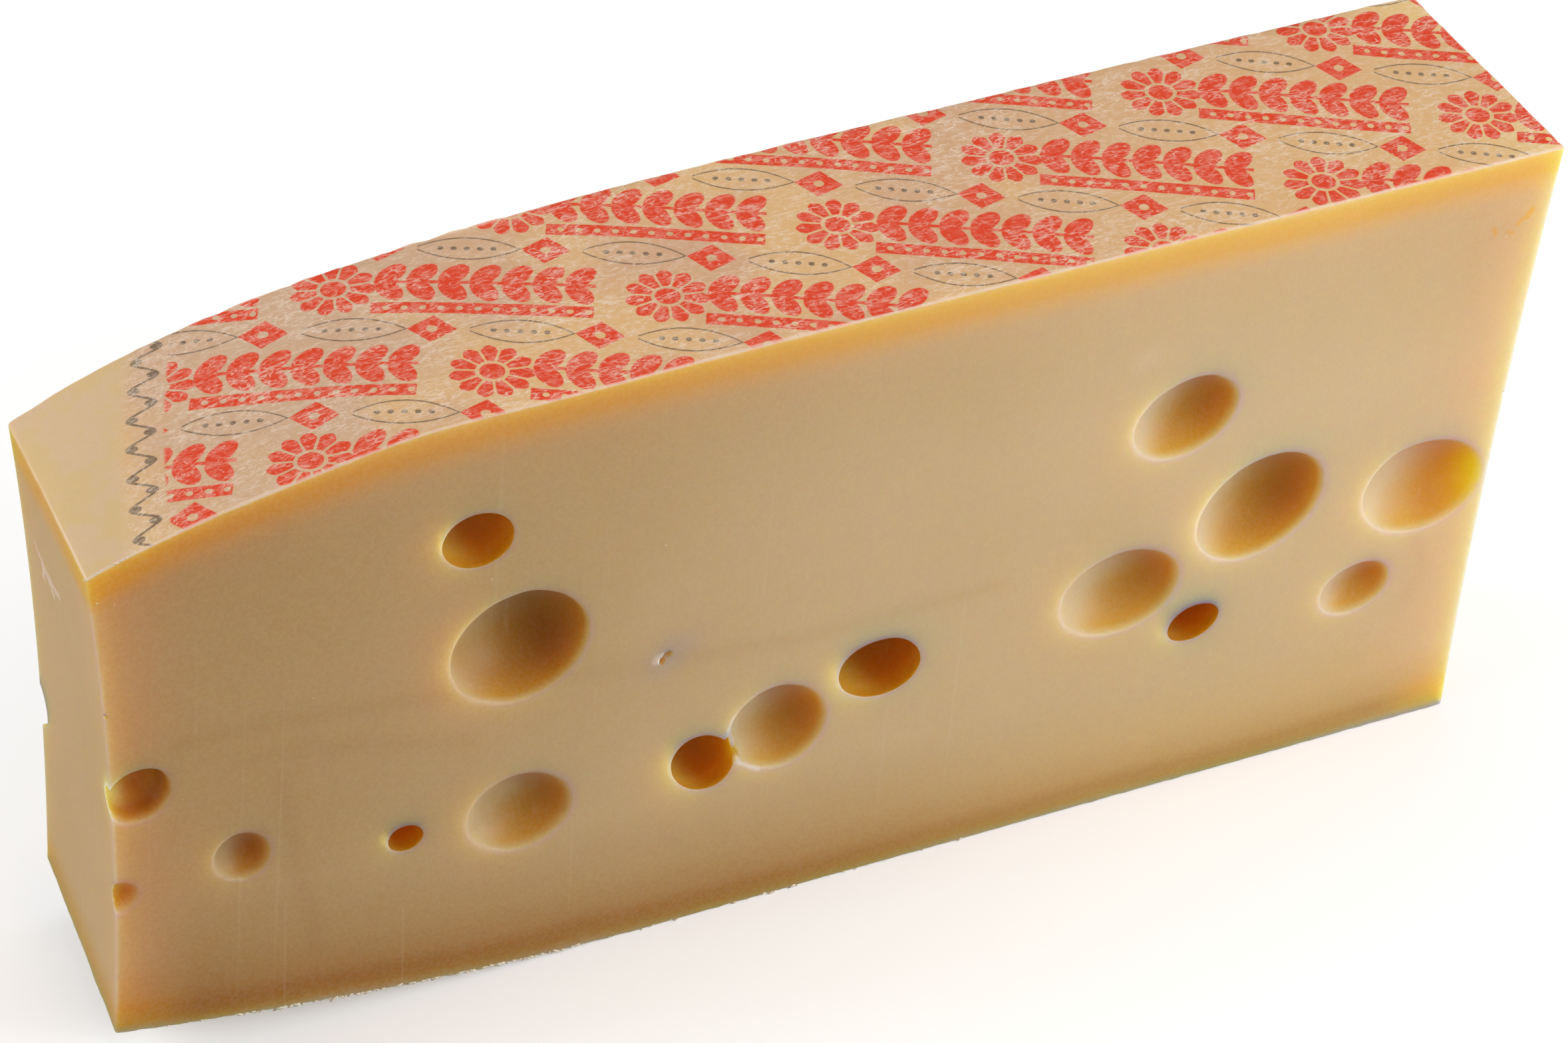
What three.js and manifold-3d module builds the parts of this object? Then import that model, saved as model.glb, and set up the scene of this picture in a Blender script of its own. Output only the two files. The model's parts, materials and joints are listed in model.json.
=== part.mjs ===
// A block of hard cheese, cut as a straight slab from a big round wheel.
// Its top and underside are the wheel's rind; its four sides are knife cuts.
// Millimetres, +Z up, +X along the block, the front cut facing -Y.
// The origin is the middle of the block's footprint, on the surface it rests on.

import * as THREE from 'three';
import { mergeVertices } from 'three/addons/utils/BufferGeometryUtils.js';
import Module from 'manifold-3d';

// ---- driving dimensions -------------------------------------------------

const LENGTH = 400;          // along the top of the front cut
const HEIGHT = 181;          // thickness of the wheel near its middle
const DEPTH = 67;            // slab thickness at half height
const BACK_LEAN = 10;        // extra depth at the top over the bottom

const WHEEL_RADIUS = 490;    // the wheel that the slab was cut from
const AXIS_X = 398;          // the wheel's axis, from the front left corner
const AXIS_Y = -111;         // the axis lies in front of the front cut
const TOP_DROP = 85;         // fall of the upper rind at the wheel's rim
const TOP_POWER = 8;         // how late that fall sets in
const FLAT_RADIUS = 270;     // the underside is flat out to here
const BOTTOM_RISE = 35;      // rise of the lower rind at the wheel's rim
const BOTTOM_POWER = 1.7;

const SWELL_HEIGHT = 1.6;    // a low swelling of the upper rind by the front cut
const SWELL_X = 88;
const SWELL_SPREAD = 24;
const SWELL_DEPTH = 40;

const LEFT_LEAN = 11.7;      // the left cut runs in towards the bottom
const LEFT_SKEW = 6.1;       // and towards the back
const LEFT_TWIST = 1.7;      // and more so at the bottom of the back
const LEFT_BOW = 4.2;        // its hollow at half height
const RIGHT_LEAN = 8.5;
const RIGHT_SKEW = 2.1;
const RIGHT_BOW = 1.9;

const STEPS_X = 34;
const STEPS_Y = 4;
const STEPS_Z = 8;

// ---- the eyes -------------------------------------------------------------
// Each eye is the part of an egg shape that the knife laid open. along and up
// place its mouth on the cut, wide and high are the mouth's half sizes, tilt
// turns it in degrees, deep is how far in it reaches, and sink says how much
// of the egg lies behind the cut: under 0 a shallow bowl, over 0 a cave.

const FRONT_EYES = [
  { along: 298.1, up: 123.7, wide: 15.4, high: 12.3, tilt: 15, deep: 9.5, sink: -0.25 },
  { along: 324.2, up: 87.6, wide: 19.3, high: 15.8, tilt: 25, deep: 13.5, sink: -0.15 },
  { along: 373.4, up: 79.8, wide: 18.4, high: 15.1, tilt: -8, deep: 10.0, sink: -0.3 },
  { along: 285.2, up: 70.9, wide: 17.5, high: 13.7, tilt: 0, deep: 9.0, sink: -0.35 },
  { along: 308.6, up: 54.0, wide: 7.6, high: 5.7, tilt: 11, deep: 15.0, sink: 0.6 },
  { along: 357.2, up: 50.6, wide: 10.9, high: 8.3, tilt: 11, deep: 6.0, sink: -0.3 },
  { along: 103.1, up: 142.3, wide: 9.6, high: 8.3, tilt: -14, deep: 13.0, sink: 0.25 },
  { along: 115.8, up: 105.4, wide: 18.8, high: 17.2, tilt: -7, deep: 14.0, sink: -0.15 },
  { along: 118.4, up: 51.7, wide: 14.8, high: 12.5, tilt: -12, deep: 7.5, sink: -0.35 },
  { along: 87.7, up: 53.2, wide: 4.8, high: 4.1, tilt: -12, deep: 10.0, sink: 0.6 },
  { along: 168.6, up: 51.5, wide: 9.9, high: 8.1, tilt: -48, deep: 17.0, sink: 0.45 },
  { along: 188.9, up: 56.8, wide: 14.4, high: 13.4, tilt: -40, deep: 9.0, sink: -0.25 },
  { along: 216.9, up: 67.4, wide: 11.8, high: 9.2, tilt: -11, deep: 18.0, sink: 0.45 },
  { along: 17.2, up: 89.8, wide: 8.8, high: 8.6, tilt: 0, deep: 9.0, sink: -0.05 },
  { along: 44.3, up: 61.7, wide: 8.3, high: 7.4, tilt: -47, deep: 5.0, sink: -0.3 },
  { along: 11.6, up: 58.8, wide: 6.2, high: 5.3, tilt: 0, deep: 3.2, sink: -0.35 },
];

const BACK_EYES = [
  { along: 21.0, up: 67.0, wide: 8.0, high: 7.6, tilt: 0, deep: 7.5, sink: -0.1 },
  { along: 66.0, up: 96.0, wide: 16.2, high: 13.9, tilt: 10, deep: 10.0, sink: -0.2 },
  { along: 92.0, up: 49.0, wide: 9.4, high: 8.0, tilt: -15, deep: 14.0, sink: 0.35 },
  { along: 148.0, up: 71.0, wide: 18.2, high: 16.0, tilt: -5, deep: 12.0, sink: -0.2 },
  { along: 176.0, up: 118.0, wide: 12.6, high: 10.4, tilt: 20, deep: 7.0, sink: -0.3 },
  { along: 204.0, up: 58.0, wide: 7.4, high: 6.2, tilt: 8, deep: 12.5, sink: 0.5 },
  { along: 247.0, up: 92.0, wide: 17.0, high: 14.2, tilt: -20, deep: 11.0, sink: -0.2 },
  { along: 284.0, up: 55.0, wide: 13.2, high: 11.2, tilt: 12, deep: 7.5, sink: -0.35 },
  { along: 309.0, up: 106.0, wide: 8.8, high: 7.4, tilt: -10, deep: 13.0, sink: 0.4 },
  { along: 345.0, up: 74.0, wide: 16.0, high: 13.4, tilt: 18, deep: 10.5, sink: -0.25 },
  { along: 365.0, up: 122.0, wide: 5.6, high: 4.9, tilt: 0, deep: 8.0, sink: 0.5 },
];

const RIGHT_EYES = [
  { along: 44.0, up: 124.0, wide: 10.2, high: 9.0, tilt: 10, deep: 6.5, sink: -0.25 },
  { along: 35.0, up: 96.0, wide: 4.6, high: 4.0, tilt: 0, deep: 7.0, sink: 0.5 },
  { along: 29.0, up: 46.0, wide: 9.0, high: 7.8, tilt: -12, deep: 5.5, sink: -0.3 },
];

// ---- shape of the block ---------------------------------------------------

function wheelRadiusAt(x, y) {
  return Math.hypot(x - AXIS_X, y - AXIS_Y);
}

function topAt(x, y) {
  const drop = TOP_DROP * (wheelRadiusAt(x, y) / WHEEL_RADIUS) ** TOP_POWER;
  const off = ((x - SWELL_X) / SWELL_SPREAD) ** 2 + (y / SWELL_DEPTH) ** 2;
  return HEIGHT - drop + SWELL_HEIGHT * Math.exp(-off);
}

function bottomAt(x, y) {
  const past = Math.max(0, wheelRadiusAt(x, y) - FLAT_RADIUS);
  return BOTTOM_RISE * (past / (WHEEL_RADIUS - FLAT_RADIUS)) ** BOTTOM_POWER;
}

function backAt(z) {
  return DEPTH + BACK_LEAN * (z / HEIGHT - 0.5);
}

function leftAt(y, z) {
  const low = 1 - z / HEIGHT;
  const back = y / DEPTH;
  const bow = LEFT_BOW * 4 * low * (1 - low);
  return LEFT_LEAN * low + LEFT_SKEW * back + LEFT_TWIST * low * back + bow;
}

function rightAt(y, z) {
  const low = 1 - z / HEIGHT;
  const bow = RIGHT_BOW * 4 * low * (1 - low);
  return LENGTH - RIGHT_LEAN * low - RIGHT_SKEW * (y / DEPTH) - bow;
}

function heightAt(x, y, level) {
  const bottom = bottomAt(x, y);
  return bottom + level * (topAt(x, y) - bottom);
}

// A point of the block from its shares of length, depth and height, 0 to 1.
function blockPoint(share, depthShare, level) {
  const z = heightAt(share * LENGTH, depthShare * DEPTH, level);
  const y = depthShare * backAt(z);
  const left = leftAt(y, z);
  const x = left + share * (rightAt(y, z) - left);
  return [x, y, heightAt(x, y, level)];
}

function blockGeometry() {
  const box = new THREE.BoxGeometry(1, 1, 1, STEPS_X, STEPS_Y, STEPS_Z);
  const place = box.attributes.position;
  for (let i = 0; i < place.count; i += 1) {
    const share = place.getX(i) + 0.5;
    const depthShare = place.getY(i) + 0.5;
    const level = place.getZ(i) + 0.5;
    place.setXYZ(i, ...blockPoint(share, depthShare, level));
  }
  return box;
}

// ---- shape of an eye --------------------------------------------------------

const EGG_STEPS = 12;          // fewest steps round an egg
const EGG_STEPS_PER_MM = 0.65; // more for each millimetre of its mouth

// The whole egg round the origin, its mouth's plane at right angles to Y and
// its inside towards +Y.
function eggGeometry(eye) {
  const across = Math.sqrt(1 - eye.sink * eye.sink);
  const halfDepth = eye.deep / (1 + eye.sink);
  const round = 2 * Math.round((EGG_STEPS + EGG_STEPS_PER_MM * eye.wide) / 2);
  const egg = new THREE.SphereGeometry(1, round, Math.round(0.6 * round));
  egg.scale(eye.wide / across, halfDepth, eye.high / across);
  egg.translate(0, eye.sink * halfDepth, 0);
  egg.rotateY(THREE.MathUtils.degToRad(-eye.tilt));
  return egg;
}

function frontEgg(eye) {
  return eggGeometry(eye).translate(eye.along, 0, eye.up);
}

function backEgg(eye) {
  const egg = eggGeometry(eye).rotateZ(Math.PI).rotateX(-Math.atan(BACK_LEAN / HEIGHT));
  return egg.translate(eye.along, backAt(eye.up), eye.up);
}

function rightEgg(eye) {
  const egg = eggGeometry(eye).rotateZ(Math.PI / 2).rotateY(Math.atan(RIGHT_LEAN / HEIGHT));
  return egg.translate(rightAt(eye.along, eye.up), eye.along, eye.up);
}

// ---- joining and cutting ------------------------------------------------------

const wasm = await Module();
wasm.setup();

function toSolid(geometry) {
  const bare = geometry.clone();
  bare.deleteAttribute('normal');
  bare.deleteAttribute('uv');
  const merged = mergeVertices(bare, 1e-4);
  return new wasm.Manifold(new wasm.Mesh({
    numProp: 3,
    vertProperties: new Float32Array(merged.attributes.position.array),
    triVerts: new Uint32Array(merged.index.array),
  }));
}

function toGeometry(solid) {
  const mesh = solid.getMesh();
  const geometry = new THREE.BufferGeometry();
  geometry.setAttribute('position', new THREE.BufferAttribute(mesh.vertProperties.slice(), 3));
  geometry.setIndex(new THREE.BufferAttribute(mesh.triVerts.slice(), 1));
  geometry.computeVertexNormals();
  return geometry;
}

function cheeseGeometry() {
  const eggs = [
    ...FRONT_EYES.map(frontEgg),
    ...BACK_EYES.map(backEgg),
    ...RIGHT_EYES.map(rightEgg),
  ];
  let solid = toSolid(blockGeometry());
  for (const egg of eggs) {
    solid = solid.subtract(toSolid(egg));
  }
  const geometry = toGeometry(solid);
  geometry.computeBoundingBox();
  const { min, max } = geometry.boundingBox;
  geometry.translate(-(min.x + max.x) / 2, -(min.y + max.y) / 2, -min.z);
  return geometry;
}

// ---- the part -------------------------------------------------------------------

const paste = new THREE.MeshStandardMaterial({
  color: new THREE.Color(0.83, 0.68, 0.44),
  roughness: 0.5,
  metalness: 0,
});

const cheese = new THREE.Mesh(cheeseGeometry(), paste);
cheese.name = 'cheese';

const part = new THREE.Group();
part.add(cheese);

export default part;
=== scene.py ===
"""A block of hard cheese cut from a big wheel: eyes in its cuts, a printed film on its rind."""
import json
import math
import random

import bmesh
import bpy
import numpy as np
from mathutils import Euler, Matrix, Vector, noise

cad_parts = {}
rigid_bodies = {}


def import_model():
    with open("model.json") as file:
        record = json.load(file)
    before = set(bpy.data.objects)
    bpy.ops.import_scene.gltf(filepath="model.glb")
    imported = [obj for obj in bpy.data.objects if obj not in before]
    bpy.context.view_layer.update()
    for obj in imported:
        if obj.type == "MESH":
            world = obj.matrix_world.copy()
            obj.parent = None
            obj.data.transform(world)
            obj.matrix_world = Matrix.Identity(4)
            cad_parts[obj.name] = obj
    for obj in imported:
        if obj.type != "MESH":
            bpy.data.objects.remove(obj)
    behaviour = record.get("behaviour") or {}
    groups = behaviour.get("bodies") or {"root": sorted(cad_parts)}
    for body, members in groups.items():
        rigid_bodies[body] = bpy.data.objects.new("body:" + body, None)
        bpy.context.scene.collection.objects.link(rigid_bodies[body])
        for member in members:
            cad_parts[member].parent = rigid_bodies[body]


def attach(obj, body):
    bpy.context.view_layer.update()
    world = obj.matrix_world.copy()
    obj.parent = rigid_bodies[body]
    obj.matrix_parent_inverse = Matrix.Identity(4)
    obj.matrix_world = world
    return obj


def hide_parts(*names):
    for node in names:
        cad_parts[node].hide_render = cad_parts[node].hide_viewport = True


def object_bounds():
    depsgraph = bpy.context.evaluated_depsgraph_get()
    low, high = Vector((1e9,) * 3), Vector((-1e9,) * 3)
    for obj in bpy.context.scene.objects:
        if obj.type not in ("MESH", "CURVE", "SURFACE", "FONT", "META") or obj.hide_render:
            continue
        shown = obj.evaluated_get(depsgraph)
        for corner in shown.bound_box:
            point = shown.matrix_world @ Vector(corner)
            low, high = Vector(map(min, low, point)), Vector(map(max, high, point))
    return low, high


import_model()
cad_low, cad_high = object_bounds()

# ---- sizes of the block, in millimetres from its front left corner ----

LENGTH = 400.0
HEIGHT = 181.0
DEPTH = 67.0
BACK_LEAN = 10.0

WHEEL_RADIUS = 490.0
AXIS_X = 398.0
AXIS_Y = -111.0
TOP_DROP = 85.0
TOP_POWER = 8
FLAT_RADIUS = 270.0
BOTTOM_RISE = 35.0
BOTTOM_POWER = 1.7

SWELL_HEIGHT = 1.6
SWELL_X = 88.0
SWELL_SPREAD = 24.0
SWELL_DEPTH = 40.0

LEFT_LEAN = 11.7
LEFT_SKEW = 6.1
LEFT_TWIST = 1.7
LEFT_BOW = 4.2
RIGHT_LEAN = 8.5
RIGHT_SKEW = 2.1
RIGHT_BOW = 1.9

EDGE_ROUND = 0.8       # the knife's edges are hardly rounded
EDGE_STEPS = 3
GRID = 2.1             # spacing of the surface's own mesh

# Each eye: along and up on its cut, half width and half height of its mouth,
# tilt in degrees, how deep it goes, and sink: the share of its egg shape that
# lies behind the cut, under 0 for a bowl and over 0 for a cave.
FRONT_EYES = [
    (298.1, 123.7, 15.4, 12.3, 15, 9.5, -0.25),
    (324.2, 87.6, 19.3, 15.8, 25, 13.5, -0.15),
    (373.4, 79.8, 18.4, 15.1, -8, 10.0, -0.3),
    (285.2, 70.9, 17.5, 13.7, 0, 9.0, -0.35),
    (308.6, 54.0, 7.6, 5.7, 11, 15.0, 0.6),
    (357.2, 50.6, 10.9, 8.3, 11, 6.0, -0.3),
    (103.1, 142.3, 9.6, 8.3, -14, 13.0, 0.25),
    (115.8, 105.4, 18.8, 17.2, -7, 14.0, -0.15),
    (118.4, 51.7, 14.8, 12.5, -12, 7.5, -0.35),
    (87.7, 53.2, 4.8, 4.1, -12, 10.0, 0.6),
    (168.6, 51.5, 9.9, 8.1, -48, 17.0, 0.45),
    (188.9, 56.8, 14.4, 13.4, -40, 9.0, -0.25),
    (216.9, 67.4, 11.8, 9.2, -11, 18.0, 0.45),
    (17.2, 89.8, 8.8, 8.6, 0, 9.0, -0.05),
    (44.3, 61.7, 8.3, 7.4, -47, 5.0, -0.3),
    (11.6, 58.8, 6.2, 5.3, 0, 3.2, -0.35),
]
BACK_EYES = [
    (21.0, 67.0, 8.0, 7.6, 0, 7.5, -0.1),
    (66.0, 96.0, 16.2, 13.9, 10, 10.0, -0.2),
    (92.0, 49.0, 9.4, 8.0, -15, 14.0, 0.35),
    (148.0, 71.0, 18.2, 16.0, -5, 12.0, -0.2),
    (176.0, 118.0, 12.6, 10.4, 20, 7.0, -0.3),
    (204.0, 58.0, 7.4, 6.2, 8, 12.5, 0.5),
    (247.0, 92.0, 17.0, 14.2, -20, 11.0, -0.2),
    (284.0, 55.0, 13.2, 11.2, 12, 7.5, -0.35),
    (309.0, 106.0, 8.8, 7.4, -10, 13.0, 0.4),
    (345.0, 74.0, 16.0, 13.4, 18, 10.5, -0.25),
    (365.0, 122.0, 5.6, 4.9, 0, 8.0, 0.5),
]
RIGHT_EYES = [
    (44.0, 124.0, 10.2, 9.0, 10, 6.5, -0.25),
    (35.0, 96.0, 4.6, 4.0, 0, 7.0, 0.5),
    (29.0, 46.0, 9.0, 7.8, -12, 5.5, -0.3),
]
CAVE_SINK = 0.2        # an eye sunk further than this is a cave, not a bowl

# Ragged tears: middle, half sizes along, into and up the cut, and turn in degrees.
TEARS = [
    (155.1, 0.0, 89.0, 1.0, 2.6, 1.5, 10),       # a torn pinhole with two lobes
    (156.3, 0.0, 90.4, 1.4, 2.0, 1.2, -20),
    (175.8, 0.8, 55.6, 2.1, 2.4, 2.9, 8),        # the wall between two eyes has broken through
    (177.2, 0.6, 51.6, 2.2, 2.2, 3.0, -24),
    (394.4, 0.0, 104.3, 0.7, 0.9, 1.0, 0),       # nicks at the corners
    (8.7, 0.2, 117.2, 0.6, 0.8, 0.8, 0),
]

# ---- shape of the block ----


def wheel_radius(x, y):
    return np.hypot(x - AXIS_X, y - AXIS_Y)


def top_at(x, y):
    drop = TOP_DROP * (wheel_radius(x, y) / WHEEL_RADIUS) ** TOP_POWER
    off = ((x - SWELL_X) / SWELL_SPREAD) ** 2 + (y / SWELL_DEPTH) ** 2
    return HEIGHT - drop + SWELL_HEIGHT * np.exp(-off)


def bottom_at(x, y):
    past = np.maximum(0.0, wheel_radius(x, y) - FLAT_RADIUS)
    return BOTTOM_RISE * (past / (WHEEL_RADIUS - FLAT_RADIUS)) ** BOTTOM_POWER


def back_at(z):
    return DEPTH + BACK_LEAN * (z / HEIGHT - 0.5)


def left_at(y, z):
    low = 1 - z / HEIGHT
    back = y / DEPTH
    bow = LEFT_BOW * 4 * low * (1 - low)
    return LEFT_LEAN * low + LEFT_SKEW * back + LEFT_TWIST * low * back + bow


def right_at(y, z):
    low = 1 - z / HEIGHT
    bow = RIGHT_BOW * 4 * low * (1 - low)
    return LENGTH - RIGHT_LEAN * low - RIGHT_SKEW * (y / DEPTH) - bow


def height_at(x, y, level):
    bottom = bottom_at(x, y)
    return bottom + level * (top_at(x, y) - bottom)


def block_points(share, depth_share, level):
    """Where points of a plain box, given as shares of its sides, come to lie in the block."""
    z = height_at(share * LENGTH, depth_share * DEPTH, level)
    y = depth_share * back_at(z)
    left = left_at(y, z)
    x = left + share * (right_at(y, z) - left)
    return np.stack((x, y, height_at(x, y, level)), axis=-1)


def gaps_at(x, y, z):
    """How far inside each of the block's six surfaces points lie."""
    return {
        "top": top_at(x, y) - z,
        "foot": z - bottom_at(x, y),
        "front": y,
        "back": back_at(z) - y,
        "left": x - left_at(y, z),
        "right": right_at(y, z) - x,
    }


def edges_along(bm, axis, longer_than):
    found = []
    for edge in bm.edges:
        run = edge.verts[1].co - edge.verts[0].co
        if run.length > longer_than and abs(run[axis]) > 0.999 * run.length:
            found.append(edge)
    return found


def slice_evenly(bm, axis, size):
    """Cuts the long edges that run along one axis into equal lengths."""
    long_edges = edges_along(bm, axis, 4 * EDGE_ROUND)
    bmesh.ops.subdivide_edges(
        bm, edges=long_edges, cuts=round(size / GRID) - 1, use_grid_fill=True
    )


def ruffle(p, size):
    """A smooth random number between -1 and 1 that changes over about size millimetres."""
    return noise.noise(p / size)


RIND_NORMAL = 0.9      # a surface that faces up or down more than this is rind
RIND_SWELL = 0.35      # heights, each with the size of its waves
RIND_SWELL_SIZE = 38.0
RIND_PUCKER = 0.12
RIND_PUCKER_SIZE = 11.0
PUCKER_SHIFT = Vector((9, 4, 2))
CUT_WAVE = 0.16
CUT_WAVE_SIZE = 46.0
CUT_WAVE_STRETCH = 0.35
CHIP = 0.22
CHIP_SIZE = 3.5
CHIP_REACH = 1.6
TORN_FOOT = 0.35       # the knife tore the foot of the front cut here
TORN_FOOT_X = 96.0
TORN_FOOT_SPREAD = 42.0
STANDING_RADIUS = FLAT_RADIUS + 20.0


def surface_relief(p, normal):
    """How far the surface stands out of its plain shape: rind swells, cuts wave a little."""
    gaps = gaps_at(p.x, p.y, p.z)
    if abs(normal.z) > RIND_NORMAL:
        if gaps["foot"] < 1 and wheel_radius(p.x, p.y) < STANDING_RADIUS:
            return 0.0
        swell = RIND_SWELL * ruffle(p, RIND_SWELL_SIZE)
        return swell + RIND_PUCKER * ruffle(p + PUCKER_SHIFT, RIND_PUCKER_SIZE)
    wave = CUT_WAVE * ruffle(Vector((p.x, p.y, CUT_WAVE_STRETCH * p.z)), CUT_WAVE_SIZE)
    rim = min(abs(gaps["top"]), abs(gaps["foot"]))
    torn = TORN_FOOT * math.exp(-((p.x - TORN_FOOT_X) / TORN_FOOT_SPREAD) ** 2)
    chips = (CHIP + torn) * ruffle(p, CHIP_SIZE) * math.exp(-rim / CHIP_REACH)
    return wave + chips


def plain_block():
    bm = bmesh.new()
    bmesh.ops.create_cube(bm, size=1)
    bmesh.ops.translate(bm, verts=bm.verts, vec=(0.5, 0.5, 0.5))
    bmesh.ops.scale(bm, verts=bm.verts, vec=(LENGTH, DEPTH, HEIGHT))
    bmesh.ops.bevel(
        bm, geom=bm.edges[:], offset=EDGE_ROUND, segments=EDGE_STEPS,
        affect="EDGES", profile=0.5, material=-1,
    )
    for axis, size in enumerate((LENGTH, DEPTH, HEIGHT)):
        slice_evenly(bm, axis, size)
    shares = np.array([vert.co for vert in bm.verts]) / (LENGTH, DEPTH, HEIGHT)
    for vert, place in zip(bm.verts, block_points(*shares.T)):
        vert.co = place
    bm.normal_update()
    moves = [vert.normal * surface_relief(vert.co, vert.normal) for vert in bm.verts]
    for vert, move in zip(bm.verts, moves):
        vert.co += move
    return bm


# ---- the eyes and tears ----

BOWL_LIP = 0.9         # how wide a bowl's mouth rounds over
CAVE_LIP = 0.4
LIP_DEPTH = 0.85       # of its width
EGG_STEPS = 20
LIP_STEPS = 6
FLARE = 1.6            # past the lip the cutter climbs out of the cheese
FLARE_RISE = 0.32
CLEAR_ABOVE = 6.0
SPIN_STEPS_PER_MM = 3.2
EYE_SWAY = 0.028       # how uneven an eye is, as a share of its size
EYE_RIPPLE = 0.008
TEAR_ROUGHNESS = 0.35


def eye_profile(middle, deep, sink, lip):
    """Radius and depth down an eye: out of the cheese, over the lip, down to the deepest point."""
    across = middle / math.sqrt(1 - sink * sink)
    half_deep = deep / (1 + sink)
    lip_deep = LIP_DEPTH * lip
    points = [(0.0, -CLEAR_ABOVE)]

    def wall(depth):
        share = max(-1.0, min(1.0, depth / half_deep - sink))
        return across * math.sqrt(1 - share * share)

    mouth = wall(0.0) + 0.5 * lip
    points.append((mouth + FLARE, -CLEAR_ABOVE))
    points.append((mouth + FLARE, -FLARE_RISE))
    for i in range(LIP_STEPS):
        turn = i / LIP_STEPS * math.pi / 2
        depth = lip_deep * (1 - math.cos(turn))
        over = lip * (1 - math.sin(turn))
        points.append((wall(depth) + over - 0.5 * lip, depth))
    start = math.asin(max(-1.0, min(1.0, lip_deep / half_deep - sink)))
    for i in range(EGG_STEPS + 1):
        turn = start + (math.pi / 2 - start) * i / EGG_STEPS
        depth = half_deep * (sink + math.sin(turn))
        points.append((max(0.0, across * math.cos(turn) - 0.5 * lip * math.cos(turn)), depth))
    return points


def make_uneven(bm, middle, shift):
    """Pushes the walls of an eye in and out a little."""
    for vert in bm.verts:
        spot = Vector((vert.co.x, vert.co.y, 0.5 * vert.co.z))
        push = EYE_SWAY * middle * ruffle(spot + shift, 0.9 * middle)
        push += EYE_RIPPLE * middle * ruffle(spot - shift, 0.3 * middle)
        out = Vector((vert.co.x, vert.co.y, 0))
        if out.length > 0.2 * middle:
            vert.co += out.normalized() * push


def eye_cutter(eye, place, seed):
    """A closed cutter for one eye, spun round its depth and set into its cut by place."""
    along, up, wide, high, tilt, deep, sink = eye
    middle = (wide + high) / 2
    lip = CAVE_LIP if sink > CAVE_SINK else BOWL_LIP * min(1.0, middle / 9)
    bm = bmesh.new()
    ring = [bm.verts.new((r, 0, d)) for r, d in eye_profile(middle, deep, sink, lip)]
    spokes = [bm.edges.new(pair) for pair in zip(ring, ring[1:])]
    steps = 8 * max(3, round(middle * SPIN_STEPS_PER_MM / 8 + 1.5))
    bmesh.ops.spin(
        bm, geom=ring + spokes, cent=(0, 0, 0), axis=(0, 0, 1),
        angle=2 * math.pi, steps=steps, use_merge=True, use_duplicate=False,
    )
    bmesh.ops.remove_doubles(bm, verts=bm.verts, dist=1e-4)
    bmesh.ops.recalc_face_normals(bm, faces=bm.faces)
    make_uneven(bm, middle, Vector((seed * 7.3, seed * 3.1, 0)))
    bmesh.ops.scale(bm, verts=bm.verts, vec=(wide / middle, high / middle, 1))
    bmesh.ops.transform(bm, verts=bm.verts, matrix=place)
    if place.to_3x3().determinant() < 0:
        bmesh.ops.reverse_faces(bm, faces=bm.faces)
    return bm


def standing_frame(origin, across, inward, tilt):
    """A matrix with X across the cut, Y up it and Z into the cheese, turned by tilt degrees."""
    inward = inward.normalized()
    up = Vector((0, 0, 1))
    up = (up - inward * up.dot(inward)).normalized()
    columns = Matrix((across, up, inward)).transposed().to_4x4()
    return Matrix.Translation(origin) @ columns @ Matrix.Rotation(math.radians(tilt), 4, "Z")


def front_place(eye):
    origin = Vector((eye[0], 0, eye[1]))
    return standing_frame(origin, Vector((1, 0, 0)), Vector((0, 1, 0)), eye[4])


def back_place(eye):
    lean = BACK_LEAN / HEIGHT
    origin = Vector((eye[0], back_at(eye[1]), eye[1]))
    return standing_frame(origin, Vector((1, 0, 0)), Vector((0, -1, lean)), eye[4])


def right_place(eye):
    lean = RIGHT_LEAN / HEIGHT
    origin = Vector((right_at(eye[0], eye[1]), eye[0], eye[1]))
    return standing_frame(origin, Vector((0, 1, 0)), Vector((-1, 0, lean)), eye[4])


PLACED_EYES = [(eye, front_place(eye)) for eye in FRONT_EYES]
PLACED_EYES += [(eye, back_place(eye)) for eye in BACK_EYES]
PLACED_EYES += [(eye, right_place(eye)) for eye in RIGHT_EYES]


def tear_cutter(tear, seed):
    """A ragged blob that bites a tear out of the front cut."""
    bm = bmesh.new()
    bmesh.ops.create_icosphere(bm, subdivisions=3, radius=1)
    shift = Vector((seed * 5.1, 0, seed * 2.3))
    for vert in bm.verts:
        vert.co *= 1 + TEAR_ROUGHNESS * ruffle(vert.co + shift, 0.7)
    bmesh.ops.scale(bm, verts=bm.verts, vec=tear[3:6])
    bmesh.ops.rotate(bm, verts=bm.verts, matrix=Matrix.Rotation(math.radians(tear[6]), 3, "Y"))
    bmesh.ops.translate(bm, verts=bm.verts, vec=tear[:3])
    return bm


def all_cutters():
    cutters = [eye_cutter(eye, place, seed) for seed, (eye, place) in enumerate(PLACED_EYES)]
    return cutters + [tear_cutter(tear, seed) for seed, tear in enumerate(TEARS)]


# ---- making objects ----


def new_object(name, bm):
    mesh = bpy.data.meshes.new(name)
    bm.to_mesh(mesh)
    bm.free()
    obj = bpy.data.objects.new(name, mesh)
    bpy.context.scene.collection.objects.link(obj)
    return obj


def apply_modifiers(obj):
    graph = bpy.context.evaluated_depsgraph_get()
    old = obj.data
    obj.data = bpy.data.meshes.new_from_object(obj.evaluated_get(graph))
    obj.modifiers.clear()
    bpy.data.meshes.remove(old)


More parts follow.
